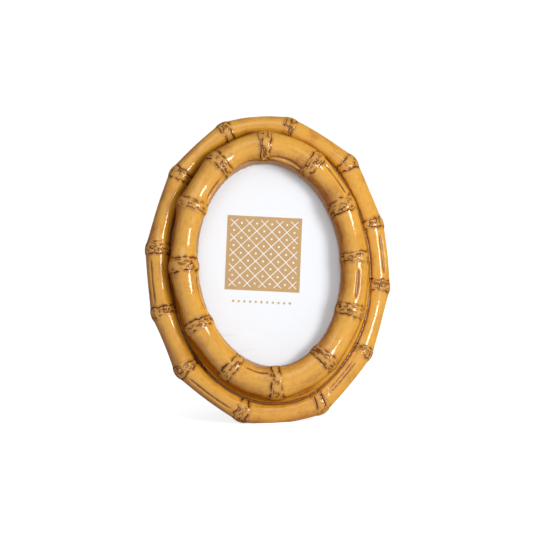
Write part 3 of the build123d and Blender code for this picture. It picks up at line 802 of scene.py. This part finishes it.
for node in (
    "turn_button_screws", "hinge_back_leaf", "hinge_leg_leaf", "hinge_pin", "back_leaf_rivets",
    "leg_leaf_rivets",
):
    finish_node(node, zinc)

# Studio: the frame stands on a plain white floor that runs on far behind it, in an even white room, with a
# small softbox at the right and a wide dim one overhead. The camera is nearly square to the picture.
floor_half = 6.0
floor_glow_strength = 0.71
floor_mesh = bpy.data.meshes.new("floor")
floor_corners = [(-floor_half, -floor_half, 0), (floor_half, -floor_half, 0), (floor_half, floor_half, 0),
                 (-floor_half, floor_half, 0)]
floor_mesh.from_pydata(floor_corners, [], [(0, 1, 2, 3)])
floor = bpy.data.objects.new("floor", floor_mesh)
bpy.context.scene.collection.objects.link(floor)

# Matte white paper. Seen directly or in a gloss it is lifted to white, and it still takes the shadow.
paper_floor = new_material("white_paper_floor")
floor_seen = add_node(paper_floor, "LightPath", output="Is Camera Ray")
floor_glossy = add_node(paper_floor, "LightPath", output="Is Glossy Ray")
floor_through = add_node(paper_floor, "LightPath", output="Is Transmission Ray")
floor_seen_or = add_node(paper_floor, "Math", {0: floor_seen, 1: floor_glossy}, operation="MAXIMUM")
floor_lift = add_node(paper_floor, "Math", {0: floor_seen_or, 1: floor_through}, operation="MAXIMUM")
floor_matte = add_node(paper_floor, "BsdfDiffuse", {"Color": linear("#E6E6E6")})
floor_strength = add_node(
    paper_floor, "Math", {0: floor_lift, 1: floor_glow_strength}, operation="MULTIPLY",
)
floor_glow = add_node(paper_floor, "Emission", {"Color": linear("#FFFFFF"), "Strength": floor_strength})
floor_surface = add_node(paper_floor, "AddShader", {0: floor_matte, 1: floor_glow})
add_node(paper_floor, "OutputMaterial", {"Surface": floor_surface})
floor_mesh.materials.append(paper_floor)

# White room: it fills every shadow softly, and shows as plain white behind the frame and in its gloss
room_fill = 0.39
room = bpy.data.worlds.new("white_room")
room.use_nodes = True
room.node_tree.nodes.clear()
room_seen = add_node(room, "LightPath", output="Is Camera Ray")
room_glossy = add_node(room, "LightPath", output="Is Glossy Ray")
room_through = add_node(room, "LightPath", output="Is Transmission Ray")
room_seen_or = add_node(room, "Math", {0: room_seen, 1: room_glossy}, operation="MAXIMUM")
room_lift = add_node(room, "Math", {0: room_seen_or, 1: room_through}, operation="MAXIMUM")
room_strength = add_node(room, "MapRange", {0: room_lift, 1: 0.0, 2: 1.0, 3: room_fill, 4: 1.0})
room_light = add_node(room, "Background", {"Color": linear("#FFFFFF"), "Strength": room_strength})
add_node(room, "OutputWorld", {"Surface": room_light})
bpy.context.scene.world = room


def hang_softbox(name, toward, distance, size, roll, watts):
    """One softbox: toward it lies right, up and in front of the frame, and it faces the frame's middle."""
    way = toward[0] * across + toward[1] * upward + toward[2] * forward
    way /= np.linalg.norm(way)
    lamp = bpy.data.lights.new(name, "AREA")
    lamp.shape = "RECTANGLE"
    lamp.size, lamp.size_y = size
    lamp.energy = watts
    softbox = bpy.data.objects.new(name, lamp)
    back = Vector(way)
    side = Vector(upward).cross(back).normalized()
    facing = Matrix((side, back.cross(side), back)).transposed().to_4x4()
    softbox.matrix_world = (
        Matrix.Translation(Vector(middle + way * distance)) @ facing @ Matrix.Rotation(roll, 4, "Z")
    )
    bpy.context.scene.collection.objects.link(softbox)


# The small one gives the long crisp highlights down the culms, and the wide one softens their shadows
hang_softbox(
    "key_softbox", toward=(0.6, 0.04, 0.8), distance=1.0, size=(0.285, 0.37), roll=math.radians(-10),
    watts=6.2,
)
hang_softbox(
    "overhead_softbox", toward=(-0.15, 0.6, 0.8), distance=1.8, size=(1.4, 1.0), roll=0.0, watts=6.0,
)

# Camera: a long lens at the frame's own height, turned a few degrees off square and rolled a little
camera_distance = 1.5
below_square = math.radians(7.5)
left_of_square = math.radians(4.0)
camera_roll = math.radians(2.7)
image_side = 533
image_middle = (268.2, 266.7)            # pixel at which the middle of the moulding's back is seen
mm_per_pixel = 0.4237
camera_data = bpy.data.cameras.new("camera")
camera_data.lens = camera_data.sensor_width * camera_distance / (image_side * mm_per_pixel * mm)
camera = bpy.data.objects.new("camera", camera_data)
bpy.context.scene.collection.objects.link(camera)
level_right = math.cos(left_of_square) * across + math.sin(left_of_square) * forward
level_up = math.cos(below_square) * upward + math.sin(below_square) * forward
level_up -= level_right * (level_up @ level_right)
level_up /= np.linalg.norm(level_up)
to_camera = np.cross(level_right, level_up)
camera_right = math.cos(camera_roll) * level_right - math.sin(camera_roll) * level_up
camera_up = math.cos(camera_roll) * level_up + math.sin(camera_roll) * level_right
pixels_off = np.array(image_middle) - image_side / 2
aside = (pixels_off[1] * camera_up - pixels_off[0] * camera_right) * mm_per_pixel * mm
camera_spot = middle + aside + to_camera * camera_distance
camera.matrix_world = Matrix([
    (*[float(way[line]) for way in (camera_right, camera_up, to_camera, camera_spot)],) for line in range(3)
] + [(0, 0, 0, 1)])
bpy.context.scene.camera = camera
bpy.context.scene.view_settings.view_transform = "Standard"
